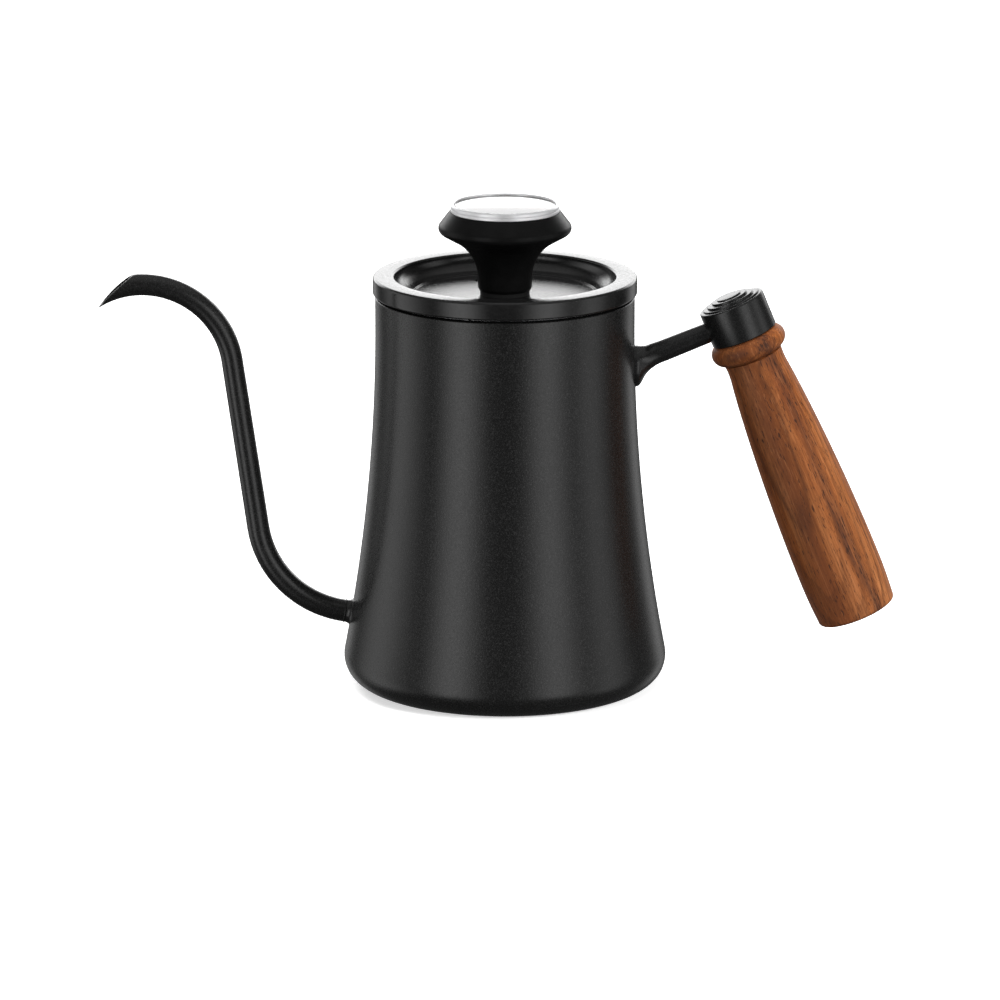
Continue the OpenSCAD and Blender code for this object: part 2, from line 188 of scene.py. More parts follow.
class Shader:
    """A node material with a Principled shader and short ways to add and link nodes."""

    def __init__(self, name, **sockets):
        self.material = bpy.data.materials.new(name)
        self.material.use_nodes = True
        self.tree = self.material.node_tree
        self.main = self.tree.nodes["Principled BSDF"]
        self.set(self.main, sockets)

    def set(self, node, sockets):
        for key, value in sockets.items():
            socket = node.inputs[key.replace("_", " ")] if isinstance(key, str) else node.inputs[key]
            if isinstance(value, bpy.types.NodeSocket):
                self.tree.links.new(value, socket)
            else:
                socket.default_value = value

    def add(self, kind, inputs=None, **settings):
        node = self.tree.nodes.new(kind)
        for key, value in settings.items():
            setattr(node, key, value)
        self.set(node, inputs or {})
        return node

    def place(self, scale=(1, 1, 1), shift=(0, 0, 0)):
        """Object coordinates in millimetres, scaled and shifted."""
        source = self.add("ShaderNodeTexCoord").outputs["Object"]
        mapping = self.add("ShaderNodeMapping", {"Vector": source, "Location": shift,
                                                 "Scale": [s / MM for s in scale]})
        return mapping.outputs[0]

    def noise(self, vector, scale, detail=2.0, roughness=0.5):
        return self.add("ShaderNodeTexNoise", {"Vector": vector, "Scale": scale, "Detail": detail,
                                               "Roughness": roughness}).outputs[0]

    def span(self, value, from_low, from_high, to_low, to_high, kind="LINEAR"):
        return self.add("ShaderNodeMapRange", {"Value": value, "From Min": from_low, "From Max": from_high,
                                               "To Min": to_low, "To Max": to_high},
                        interpolation_type=kind).outputs[0]

    def maths(self, operation, a, b=0.0):
        return self.add("ShaderNodeMath", {0: a, 1: b}, operation=operation).outputs[0]

    def mix(self, factor, a, b, blend="MIX"):
        node = self.add("ShaderNodeMix", data_type="RGBA", blend_type=blend)
        self.set(node, {0: factor, 6: a, 7: b})
        return node.outputs[2]

    def ramp(self, value, stops):
        node = self.add("ShaderNodeValToRGB", {"Fac": value})
        band = node.color_ramp
        band.elements[0].position, band.elements[0].color = stops[0]
        band.elements[1].position, band.elements[1].color = stops[-1]
        for position, colour in stops[1:-1]:
            band.elements.new(position).color = colour
        return node.outputs[0]

    def bump(self, height, depth_mm):
        node = self.add("ShaderNodeBump", {"Height": height, "Strength": 1.0, "Distance": depth_mm * MM})
        self.set(self.main, {"Normal": node.outputs[0]})


def grey(v):
    return (v, v, v, 1)


def coated(name, tone, fleck, roughness, grain):
    """Baked satin coating: a fine lighter fleck, a slight orange peel and uneven gloss."""
    s = Shader(name)
    at = s.place()
    specks = s.span(s.noise(at, 2.3, 1.0), 0.5, 0.75, 0, 1)
    cloud = s.span(s.noise(at, 0.05), 0.3, 0.7, 0.92, 1.08)
    flecked = s.mix(specks, grey(tone), grey(fleck))
    clouded = s.add("ShaderNodeCombineColor", {0: cloud, 1: cloud, 2: cloud}).outputs[0]
    shade = s.mix(1.0, flecked, clouded, "MULTIPLY")
    gloss = s.span(s.noise(at, 1.6, 2.0), 0.3, 0.7, roughness - 0.06, roughness + 0.06)
    s.set(s.main, {"Base Color": shade, "Roughness": gloss})
    s.bump(s.maths("ADD", s.noise(at, 1.5, 2.0), s.maths("MULTIPLY", specks, 0.6)), grain)
    return s.material


def moulded(name, tone, roughness):
    """Black moulded plastic with a very fine spark-eroded grain."""
    s = Shader(name, Specular_IOR_Level=0.1)
    at = s.place()
    shade = s.ramp(s.noise(at, 0.3, 3.0), [(0.3, grey(tone * 0.85)), (0.7, grey(tone * 1.15))])
    gloss = s.span(s.noise(at, 0.8, 2.0), 0.3, 0.7, roughness - 0.04, roughness + 0.04)
    s.set(s.main, {"Base Color": shade, "Roughness": gloss})
    s.bump(s.noise(at, 3.2, 1.0), 0.012)
    return s.material


def metal(name, colour, roughness, stretch, lines=0.004, metallic=1.0):
    """Bare metal whose fine lines run across the directions that stretch makes dense."""
    s = Shader(name, Metallic=metallic)
    at = s.place(stretch)
    streaks = s.noise(at, 1.0, 3.0, 0.6)
    shade = s.ramp(streaks, [(0.25, (*[c * 0.86 for c in colour], 1)), (0.75, (*colour, 1))])
    gloss = s.span(streaks, 0.3, 0.7, roughness - 0.05, roughness + 0.06)
    s.set(s.main, {"Base Color": shade, "Roughness": gloss})
    s.bump(streaks, lines)
    return s.material


def turned_metal(name, colour, roughness, pitch):
    """Bare metal faced on a lathe: fine rings round the Z axis, pitch mm apart."""
    s = Shader(name, Metallic=1.0)
    at = s.place((1, 1, 0))
    radius = s.add("ShaderNodeVectorMath", {0: at}, operation="LENGTH").outputs["Value"]
    rings = s.add("ShaderNodeTexNoise", {"W": radius, "Scale": 1 / pitch, "Detail": 3.0},
                  noise_dimensions="1D").outputs[0]
    shade = s.ramp(rings, [(0.3, (*[c * 0.85 for c in colour], 1)), (0.7, (*colour, 1))])
    gloss = s.span(rings, 0.3, 0.7, roughness - 0.05, roughness + 0.08)
    s.set(s.main, {"Base Color": shade, "Roughness": gloss})
    s.bump(rings, 0.006)
    return s.material


def black_beyond(name, colour, roughness, radius):
    """Steel inside a radius round Z; beyond it a near-black band without gloss, painted shade that stands in
    for the dark seam under the lid.
    """
    s = Shader(name, Specular_IOR_Level=0.0)
    at = s.place((1, 1, 0))
    distance = s.add("ShaderNodeVectorMath", {0: at}, operation="LENGTH").outputs["Value"]
    # painted shade: beyond the radius the steel gives way to near-black with no gloss, where the seam lies in
    # shade
    painted_shade_part = s.span(distance, radius - 0.1, radius + 0.1, 0, 1)
    streaks = s.noise(s.place((0.02, 0.02, 4.0)), 1.0, 3.0, 0.6)
    steel = s.ramp(streaks, [(0.25, (*[c * 0.86 for c in colour], 1)), (0.75, (*colour, 1))])
    s.set(s.main, {"Base Color": s.mix(painted_shade_part, steel, grey(0.002)),
                   "Metallic": s.maths("SUBTRACT", 1.0, painted_shade_part),
                   "Roughness": s.span(streaks, 0.3, 0.7, roughness - 0.04, roughness + 0.06)})
    s.bump(streaks, 0.004)
    return s.material


def plain(name, colour, roughness, mottle=0.08):
    """Paint, print or rubber: one colour with a faint mottle."""
    s = Shader(name, Specular_IOR_Level=0.3)
    cloud = s.noise(s.place(), 0.9, 3.0)
    dark = [c * (1 - mottle) for c in colour]
    s.set(s.main, {"Base Color": s.ramp(cloud, [(0.3, (*dark, 1)), (0.7, (*colour, 1))]),
                   "Roughness": s.span(cloud, 0.3, 0.7, roughness - 0.03, roughness + 0.03)})
    return s.material


def walnut(name):
    """Oiled wood with its grain along the piece's own Z.

    The growth rings go round a pith behind the right side, almost level with the turned surface, so that
    they show as long narrow tongues that point down.
    """
    s = Shader(name, Specular_IOR_Level=0.25)
    part = s.add("ShaderNodeSeparateXYZ", {0: s.place()}).outputs
    beyond = beyond_heart(s, part)
    vein = dark_vein(s, part)

    brown, middle, pale = (0.19, 0.053, 0.014, 1), (0.28, 0.087, 0.023, 1), (0.42, 0.155, 0.052, 1)
    tone = s.noise(s.place((0.16, 0.16, 0.008), (4.0, 1.0, 0.0)), 1.0, 3.0)
    colour = s.ramp(tone, [(0.3, brown), (0.5, middle), (0.7, pale)])
    # painted shade darkens the low end on the side that faces the kettle, and the tongue beyond the heart
    # line is darker
    shaded_low_side = s.maths("MULTIPLY", s.span(part[2], -20.0, -52.0, 0.0, 1.0),
                      s.span(part[0], 6.0, -1.0, 0.0, 1.0))
    colour = s.mix(s.maths("MULTIPLY", shaded_low_side, 0.6), colour, (0.15, 0.042, 0.013, 1))
    heart = s.span(beyond, -0.1, 0.4, 0.0, 0.6, "SMOOTHSTEP")
    colour = s.mix(heart, colour, (0.12, 0.036, 0.012, 1))
    colour = s.mix(ring_lines(s, beyond), colour, (0.065, 0.02, 0.008, 1))
    colour = s.mix(s.maths("MULTIPLY", vein, 0.9), colour, (0.07, 0.027, 0.015, 1))

    fibre = s.noise(s.place((1.7, 1.7, 0.02)), 1.0, 4.0, 0.72)
    colour = s.mix(s.span(fibre, 0.42, 0.68, 0.0, 0.6), colour, (0.085, 0.027, 0.01, 1))
    colour = s.mix(s.span(fibre, 0.45, 0.3, 0.0, 0.35), colour, (0.44, 0.185, 0.075, 1))
    # pores are long dashes, which crowd in the vein, and round specks
    dashes = s.maths("ADD", s.noise(s.place((2.7, 2.7, 0.3)), 1.0, 1.0), s.maths("MULTIPLY", vein, 0.12))
    specks = s.noise(s.place((3.4, 3.4, 1.0), (5, 0, 0)), 1.0, 1.0)
    pores = s.maths("MAXIMUM", s.span(dashes, 0.63, 0.7, 0.0, 0.85), s.span(specks, 0.67, 0.74, 0.0, 0.6))
    colour = s.mix(pores, colour, (0.03, 0.013, 0.008, 1))
    s.set(s.main, {"Base Color": colour, "Roughness": s.span(fibre, 0.3, 0.7, 0.48, 0.62)})
    s.bump(s.maths("SUBTRACT", s.maths("MULTIPLY", fibre, 0.35), pores), 0.04)
    return s.material


def beyond_heart(s, part):
    """How far a point of the wood lies beyond the heart line, measured from a pith that leans."""
    pith, lean, heart_r, wander_by, waver_by = (4.5, 11.1), (-0.032, -0.078), 23.4, 0.7, 0.45
    wander = s.span(s.noise(s.place((0.05, 0.05, 0.014)), 1.0, 2.0), 0.0, 1.0, -wander_by, wander_by)
    waver = s.span(s.noise(s.place((0.35, 0.35, 0.05), (7, 3, 0)), 1.0, 2.0), 0.0, 1.0, -waver_by, waver_by)
    sides = []
    for axis in (0, 1):
        leaning = s.maths("ADD", part[axis], s.maths("MULTIPLY", part[2], lean[axis]))
        sides.append(s.maths("ADD", leaning, s.maths("SUBTRACT", wander, pith[axis])))
    across = s.add("ShaderNodeCombineXYZ", {"X": sides[0], "Y": sides[1]}).outputs[0]
    reach = s.add("ShaderNodeVectorMath", {0: across}, operation="LENGTH").outputs["Value"]
    return s.maths("SUBTRACT", s.maths("ADD", reach, waver), heart_r)


def ring_lines(s, beyond):
    """Dark late wood at the end of each year, uneven from year to year, and a dark brim at the heart line."""
    year_gap, brim_width, brim_depth = 1.5, 0.45, 0.75
    rings = s.maths("DIVIDE", beyond, year_gap)
    phase = s.maths("FRACT", rings)
    late = s.maths("MULTIPLY", s.span(phase, 0.25, 0.9, 0.0, 1.0), s.span(phase, 0.9, 1.0, 1.0, 0.0))
    year = s.add("ShaderNodeTexWhiteNoise", {"W": s.maths("FLOOR", rings)},
                 noise_dimensions="1D").outputs["Value"]
    dark = s.maths("MULTIPLY", s.maths("POWER", late, 1.6), s.span(year, 0.0, 1.0, 0.4, 1.0))
    brim = s.span(s.maths("ABSOLUTE", beyond), brim_width, 0.0, 0.0, brim_depth, "SMOOTHSTEP")
    return s.maths("MAXIMUM", brim, s.maths("MULTIPLY", dark, 0.85))


def dark_vein(s, part):
    """One broken dark vein that drifts down the right side."""
    vein_x, vein_reach, drift_by = 6.3, 2.6, 1.3
    drift = s.span(s.noise(s.place((0.0, 0.0, 0.022), (0, 0, 2.6)), 1.0, 1.0), 0.3, 0.7, -drift_by, drift_by)
    from_vein = s.maths("ABSOLUTE", s.maths("SUBTRACT", s.maths("ADD", part[0], drift), vein_x))
    broken = s.span(s.noise(s.place((0.45, 0.45, 0.035)), 1.0, 2.0), 0.38, 0.6, 0.3, 1.0)
    return s.maths("MULTIPLY", s.span(from_vein, vein_reach, 0.3, 0.0, 1.0, "SMOOTHSTEP"), broken)


def clear_glass(name):
    """Clear glass with a hardly visible waviness."""
    s = Shader(name, Base_Color=(0.97, 0.985, 0.99, 1), Roughness=0.0, IOR=1.46, Transmission_Weight=1.0)
    s.bump(s.noise(s.place(), 0.12, 2.0), 0.004)
    return s.material


BLACK_COAT = coated("black_coating", 0.0045, 0.017, 0.27, 0.017)
BLACK_LID = coated("black_coating_lid", 0.0045, 0.013, 0.2, 0.005)
BLACK_SMOOTH = coated("black_enamel", 0.005, 0.012, 0.27, 0.008)
BLACK_PLASTIC = moulded("knob_plastic", 0.0035, 0.36)
STEEL_ROUND = metal("steel_brushed_round", (0.66, 0.66, 0.67), 0.3, (0.02, 0.02, 4.0))
# the lid skirt's rim beyond this radius carries painted shade for the dark seam between lid and body
SKIRT_STEEL_R = 41.3
SKIRT_STEEL_AND_SHADE = black_beyond("skirt_steel_and_painted_shade", (0.66, 0.66, 0.67), 0.3, SKIRT_STEEL_R)
STEEL_BRIGHT = metal("steel_bright", (0.78, 0.78, 0.79), 0.14, (0.5, 0.5, 2.5), 0.001)
STEEL_BEZEL = metal("steel_bezel", (0.93, 0.93, 0.94), 0.45, (0.5, 0.5, 2.5), 0.001, 0.8)
STEEL_TURNED = turned_metal("steel_turned", (0.64, 0.64, 0.65), 0.28, 0.35)
BRASS = metal("brass_turned", (0.72, 0.5, 0.2), 0.25, (0.5, 0.5, 3.0), 0.002)
BIMETAL = metal("bimetal_strip", (0.58, 0.46, 0.3), 0.35, (1.0, 1.0, 1.0), 0.001)
RUBBER = plain("silicone_black", (0.009, 0.009, 0.009), 0.6)
DIAL_GREY = plain("dial_grey", (0.66, 0.655, 0.645), 0.42, 0.03)
INK_RED = plain("ink_red", (0.62, 0.03, 0.025), 0.5, 0.04)
INK_BLACK = plain("ink_black", (0.03, 0.025, 0.035), 0.5, 0.04)
INK_WHITE = plain("ink_white", (0.86, 0.84, 0.82), 0.5, 0.03)
ZONE_RED = plain("zone_red", (0.8, 0.07, 0.03), 0.5, 0.04)
ZONE_AMBER = plain("zone_amber", (0.85, 0.42, 0.02), 0.5, 0.04)
POINTER_RED = plain("pointer_red", (0.68, 0.03, 0.03), 0.35, 0.04)
HUB_CREAM = plain("hub_cream", (0.74, 0.66, 0.5), 0.35, 0.04)
WALNUT = walnut("walnut")
GLASS = clear_glass("lens_glass")


# ---------------------------------------------------------------- kettle body

MOUTH_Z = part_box("body_shell")[1].z / MM
NECK_R = 42.0
NECK_Z = 120.0
SIDE_R = 575.0
CORNER_R = 9.0
SHEET = 0.8
RECESS_R = 40.3
RECESS = 1.2
side_centre = (NECK_R + SIDE_R, NECK_Z)
corner_centre = (side_centre[0] - sqrt((SIDE_R + CORNER_R) ** 2 - (NECK_Z - CORNER_R) ** 2), CORNER_R)
tangent = degrees(asin((NECK_Z - CORNER_R) / (SIDE_R + CORNER_R)))

SPOUT_ROOT = (-52.5, 23.1)
ROOT_HEADING = 171.4
TUBE_ROOT_R = 3.65
TUBE_TIP_R = 3.5
TUBE_WALL = 0.55
spout_place = (Matrix.Translation(Vector((SPOUT_ROOT[0], 0, SPOUT_ROOT[1])) * MM)
               @ Matrix.Rotation(radians(90 - ROOT_HEADING), 4, "Y"))


def side(inset):
    """The kettle's side from the bottom corner to the neck, moved inwards."""
    return (arc(corner_centre, CORNER_R - inset, -90, tangent, 20)
            + arc(side_centre, SIDE_R + inset, 180 + tangent, 180, 40, 1))


def build_body():
    lip = 0.35
    step = RECESS + SHEET
    outer = side(0) + arc((NECK_R - lip, MOUTH_Z - lip), lip, 0, 90, 5)
    inner = (arc((NECK_R - SHEET + lip, MOUTH_Z - lip), lip, 90, 180, 5) + side(SHEET)[::-1]
             + [(RECESS_R + SHEET, SHEET), (RECESS_R + SHEET, 0)])
    shell = make_object("kettle_shell", lathe("kettle_shell", outer + inner, 256), "kettle",
                        [BLACK_COAT, STEEL_ROUND])
    bore_r, bore_low, bore_high = TUBE_ROOT_R - TUBE_WALL, -12, 2
    bore = lathe("bore", [(0, bore_low), (bore_r, bore_low), (bore_r, bore_high), (0, bore_high)], 48)
    cut(shell, bore, spout_place)
    pan = make_object("kettle_pan", lathe("kettle_pan", rounded([
        (0, RECESS, 0), (RECESS_R, RECESS, 0.3), (RECESS_R, 0, 0.25), (RECESS_R + SHEET, 0, 0.15),
        (RECESS_R + SHEET, step, 0.4), (0, step, 0)]), 192), "kettle", [BLACK_COAT, STEEL_ROUND])
    # the inside of the sheet is bare steel
    for piece in (shell, pan):
        for face in piece.data.polygons:
            outwards = face.normal.x * face.center.x + face.normal.y * face.center.y
            wall = outwards < 0 and abs(face.normal.z) < 0.9 and face.center.z > step * MM
            floor = face.normal.z > 0.5 and face.center.z < 0.1
            face.material_index = int(wall or floor)
    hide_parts("body_shell")
    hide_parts("base_pan")

    flare, bead = 2.6, 0.22
    outline = ([(bore_r, 0), (TUBE_ROOT_R, 0)] + arc((TUBE_ROOT_R, -bead), bead, 80, -60, 6)
               + arc((TUBE_ROOT_R + flare, -0.45), flare, 180, 265, 12) + [(bore_r, -3.1)])
    collar = make_object("spout_collar", lathe("spout_collar", outline, 64), "kettle", [BLACK_COAT],
                         spout_place)


# ---------------------------------------------------------------- spout

def build_spout():
    rise_heading = 98.1
    lower_r = 33.3
    rise_len = 56.3
    upper_r = 29.2
    cut_top, cut_tip, cut_r = (-120.0, 135.5), (-131.4, 124.7), 50.0
    sides = 40
    lower_c = along(SPOUT_ROOT, ROOT_HEADING - 90, lower_r)
    rise_low = along(lower_c, rise_heading + 90, lower_r)
    upper_c = along(along(rise_low, rise_heading, rise_len), rise_heading + 90, upper_r)
    chord = Vector(cut_tip) - Vector(cut_top)
    cut_c = ((Vector(cut_top) + Vector(cut_tip)) / 2
             + Vector((-chord.y, chord.x)).normalized() * sqrt(cut_r ** 2 - chord.length_squared / 4))
    to_upper = Vector(upper_c) - cut_c

    def ring(centre, heading, r):
        turn = [2 * pi * k / sides for k in range(sides)]
        return [(centre[0] - sin(radians(heading)) * r * cos(a), r * sin(a),
                 centre[1] + cos(radians(heading)) * r * cos(a)) for a in turn]

    def end_angle(reach):
        """Where a line of the tube, reach from the upper bend's centre, meets the cut."""
        share = (cut_r ** 2 - to_upper.length_squared - reach ** 2) / (2 * to_upper.length * reach)
        return degrees(atan2(to_upper.y, to_upper.x) - acos(share)) % 360

    def run(inset):
        rings = []
        for i in range(25):
            heading = ROOT_HEADING + (rise_heading - ROOT_HEADING) * i / 24
            rings.append(ring(along(lower_c, heading + 90, lower_r), heading, TUBE_ROOT_R - inset))
        for i in range(1, 21):
            r = TUBE_ROOT_R + (TUBE_TIP_R - TUBE_ROOT_R) * i / 20 - inset
            rings.append(ring(along(rise_low, rise_heading, rise_len * i / 20), rise_heading, r))
        r = TUBE_TIP_R - inset
        for i in range(1, 37):
            line = []
            for k in range(sides):
                a = 2 * pi * k / sides
                reach = upper_r - r * cos(a)
                start = rise_heading - 90
                angle = start + (end_angle(reach) - start) * i / 36
                x, z = along(upper_c, angle, reach)
                line.append((x, r * sin(a), z))
            rings.append(line)
        return rings

    mesh = loft("spout", run(0) + run(TUBE_WALL)[::-1], capped=False, angle=50)
    spout = make_object("spout", mesh, "kettle", [BLACK_COAT])
    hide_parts("spout_tube")


# ---------------------------------------------------------------- handle

GRIP_AT = Vector((93.1, 0, 77.4))
GRIP_LEAN = 22.2
GRIP_TOP = 41.2
GRIP_LOW = -58.8
ARM_LEVEL = 46.3
HEAD_R = 10.9
HEAD_TOP = 53.1
grip_place = Matrix.Translation(GRIP_AT * MM) @ Matrix.Rotation(radians(-GRIP_LEAN), 4, "Y")


def slope(stations, j, k):
    """Rise of column k at station j, between its neighbours."""
    low, high = max(j - 1, 0), min(j + 1, len(stations) - 1)
    return (stations[high][k] - stations[low][k]) / (stations[high][0] - stations[low][0])


def eased(stations, x):
    """Smooth interpolation of rows (x, a, b, c) in x."""
    for i in range(len(stations) - 1):
        x0, x1 = stations[i][0], stations[i + 1][0]
        if x <= x1:
            break
    row = []
    u = (x - x0) / (x1 - x0)
    for k in range(1, len(stations[0])):
        p, q = stations[i][k], stations[i + 1][k]
        m, n = slope(stations, i, k) * (x1 - x0), slope(stations, i + 1, k) * (x1 - x0)
        row.append(p * (1 + 2 * u) * (1 - u) ** 2 + m * u * (1 - u) ** 2
                   + q * u * u * (3 - 2 * u) + n * u * u * (u - 1))
    return row


def build_handle():
    lean = radians(GRIP_LEAN)
    arm_body_r, arm_head_r = 3.6, 3.15
    head_x = GRIP_AT.x - ARM_LEVEL * sin(lean)
    head_z = GRIP_AT.z + ARM_LEVEL * cos(lean)

    def arm(x):
        """(lowest z, highest z, half width) of the plain arm at x."""
        r = arm_head_r + (arm_body_r - arm_head_r) * (head_x - x) / (head_x - NECK_R)
        middle = head_z - (head_x - x) * sin(lean) / cos(lean)
        return middle - r / cos(lean), middle + r / cos(lean), r

    # the flared foot on the neck, as (x, lowest z, highest z, half width)
    foot = [(41.2, 98.4, 112.1, 6.2), (42.9, 98.6, 112.0, 6.1), (43.6, 99.0, 111.9, 5.8),
            (44.3, 100.0, 111.9, 5.3), (45.6, 102.4, 112.0, 4.5), (47.1, 104.1, 112.6, 3.95)]
    foot += [(x, *arm(x)) for x in (49.6, 53.0, head_x - 9, head_x - 6)]
    xs = [41.3 + 0.25 * i for i in range(40)]
    xs += [xs[-1] + (head_x - 6 - xs[-1]) * i / 12 for i in range(1, 13)]
    rings = []
    for x in xs:
        low, high, half = eased(foot, x)
        turns = [2 * pi * k / 48 for k in range(48)]
        rings.append([(x, half * sin(a), (low + high) / 2 + (high - low) / 2 * cos(a)) for a in turns])
    arm_piece = make_object("handle_arm", loft("handle_arm", rings), "kettle", [BLACK_SMOOTH])

    cap_r, cap_seat = 9.5, 51.1
    bolt_r, bore_r, bore_floor = 3.3, 6.7, 46.6
    head = rounded([(bolt_r, GRIP_TOP, 0), (HEAD_R, GRIP_TOP, 0.45), (HEAD_R, HEAD_TOP, 0.55),
                    (cap_r, HEAD_TOP, 0.2), (cap_r, cap_seat, 0), (bore_r, cap_seat, 0),
                    (bore_r, bore_floor, 0), (bolt_r, bore_floor, 0)])
    head_piece = make_object("handle_head", lathe("handle_head", head, 128), "kettle", [BLACK_SMOOTH],
                             grip_place)
    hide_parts("handle_bracket")

    steps = [(9.45, 53.6), (7.85, 54.25), (5.95, 54.9), (4.0, 55.25)]
    corners = [(0, cap_seat, 0), (steps[0][0], cap_seat, 0)]
    for i, (r, z) in enumerate(steps):
        corners.append((r, z, 0.22))
        if i + 1 < len(steps):
            corners.append((steps[i + 1][0] + 0.12, z - 0.1, 0.08))
    corners.append((0, steps[-1][1], 0))
    cap = make_object("handle_cap_tiers", lathe("handle_cap_tiers", rounded(corners), 128), "kettle",
                      [BLACK_SMOOTH], grip_place)
    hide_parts("handle_cap")

    waist_r, waist, grip_r, belly, end_r, edge = 9.8, 28.0, 13.7, -43.6, 13.1, 1.3
    bead_r, bead_level = 3.6, GRIP_TOP - 3.5
    hole_r = 6.5
    bead_x = waist_r - sqrt(bead_r ** 2 - (GRIP_TOP - bead_level) ** 2)
    outline = ([(0, GRIP_LOW)] + arc((end_r - edge, GRIP_LOW + edge), edge, -90, 0, 10)
               + bezier([(end_r, GRIP_LOW + edge), (end_r + 0.3, -53), (grip_r, -49),
                         (grip_r, belly)], 12, 1)
               + bezier([(grip_r, belly), (grip_r, -10), (10.9, 20), (waist_r, waist)], 48, 1)
               + bezier([(waist_r, waist), (waist_r - 0.3, 30.5), (waist_r - 0.2, 32.4),
                         (waist_r - 0.1, 33.2)], 8, 1)
               + arc((waist_r - 0.35, 33.45), 0.3, 0, 90, 5) + [(waist_r - 0.75, 33.8)]
               + arc((bead_x, bead_level), bead_r, -80, 76, 20)
               + [(hole_r, GRIP_TOP), (hole_r, GRIP_TOP - 1.2), (0, GRIP_TOP - 1.2)])
    grip = make_object("wooden_grip", lathe("wooden_grip", outline, 160), "kettle", [WALNUT], grip_place)
    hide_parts("grip")


# ---------------------------------------------------------------- lid and knob

LID_R = 42.75
RING_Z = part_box("lid_cover")[1].z / MM
DISH_Z = 129.3
BEZEL_R = 17.6
KNOB_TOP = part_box("knob")[1].z / MM


def build_lid():
    ring_inner, dish_wall, dish_r, hole_r, step = 35.8, 5.0, 29.3, 4.2, 0.5
    band_edge, ring_edge = 1.0, 0.8
    band_low = 129.5

    def face(t):
        """The lid's upper face moved down by t, from the band to the centre hole."""
        return (arc((LID_R - band_edge, RING_Z - band_edge), band_edge - t, 0, 90, 8)
                + arc((ring_inner + ring_edge, RING_Z - ring_edge), ring_edge - min(t, 0.7), 90, 180, 8)
                + arc((ring_inner - dish_wall, DISH_Z + step + dish_wall), dish_wall + t, 0, -90, 16)
                + bezier([(dish_r + step, DISH_Z + step - t), (dish_r + 0.15, DISH_Z + step - t),
                          (dish_r + 0.3, DISH_Z - t), (dish_r - 0.2, DISH_Z - t)], 8)
                + [(hole_r, DISH_Z - t)])

    lower_edge = rounded([(LID_R - SHEET, band_low + 1, 0), (LID_R - SHEET, band_low, 0.1),
                          (LID_R, band_low, 0.65), (LID_R, band_low + 1, 0)])
    outline = lower_edge + face(0) + face(SHEET)[::-1]
    cover = make_object("lid_pressing", lathe("lid_pressing", outline, 256), "lid", [BLACK_LID])
    vent_r, vent_at = 1.3, Vector((-8.5, 19.5, 0))
    vent = lathe("vent", [(0, DISH_Z - 3), (vent_r, DISH_Z - 3), (vent_r, DISH_Z + 1), (0, DISH_Z + 1)], 32)
    cut(cover, vent, Matrix.Translation(vent_at * MM))
    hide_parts("lid_cover")


def build_knob():
    neck_r, neck_low, flare_z, flare_r = 8.75, 130.6, 142.5, 14.0
    rim_r, rim_z, rim_round, top_r = 22.55, 150.35, 2.1, 17.95
    pocket_r, pocket_z, counter_r, counter_z, hole = 16.75, 149.2, 6.8, 146.2, 4.1
    outline = rounded([(hole, neck_low, 0), (neck_r - 0.5, neck_low, 0.15), (neck_r, neck_low + 1, 0.4),
                       (neck_r, flare_z, flare_r), (rim_r, rim_z, rim_round), (top_r, KNOB_TOP, 0.2),
                       (pocket_r, KNOB_TOP, 0.2), (pocket_r, pocket_z, 0), (counter_r, pocket_z, 0),
                       (counter_r, counter_z, 0), (hole, counter_z, 0)], 16)
    knob = make_object("lid_knob", lathe("lid_knob", outline, 160), "lid", [BLACK_PLASTIC])
    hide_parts("knob")


# ---------------------------------------------------------------- thermometer

BEZEL_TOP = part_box("thermo_bezel")[1].z / MM
BEZEL_OPEN_R = 16.5
DIAL_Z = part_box("dial_plate")[1].z / MM
DIAL_ZERO = 37.5
DIAL_STEP = 2.91
READING = 18.0
PRINT = 0.02


def dial_angle(celsius):
    """Angle from +X, counter-clockwise, of a temperature on the dial."""
    return 90 - DIAL_ZERO - DIAL_STEP * celsius


def sector(r_in, r_out, c0, c1, z=0.0):
    """A thin printed patch between two radii and two temperatures, as vertices and faces."""
    steps = max(1, int(abs(c1 - c0)))
    rows = []
    for i in range(steps + 1):
        a = dial_angle(c0 + (c1 - c0) * i / steps)
        rows.append([(*along((0, 0), a, r), DIAL_Z + z + h) for r, h in
                     ((r_in, 0), (r_out, 0), (r_out, PRINT), (r_in, PRINT))])
    vertices = [p for row in rows for p in row]
    faces = [(3, 2, 1, 0), tuple(4 * steps + k for k in range(4))]
    for i in range(steps):
        for k in range(4):
            m = (k + 1) % 4
            faces.append((4 * i + k, 4 * i + m, 4 * i + 4 + m, 4 * i + 4 + k))
    return vertices, faces


def patches(name, parts, material):
    """Several printed patches as one piece on the thermometer."""
    vertices, faces = [], []
    for part_vertices, part_faces in parts:
        start = len(vertices)
        vertices += part_vertices
        faces += [tuple(start + i for i in face) for face in part_faces]
    piece = make_object(name, closed_mesh(name, vertices, faces), "thermometer", [material])


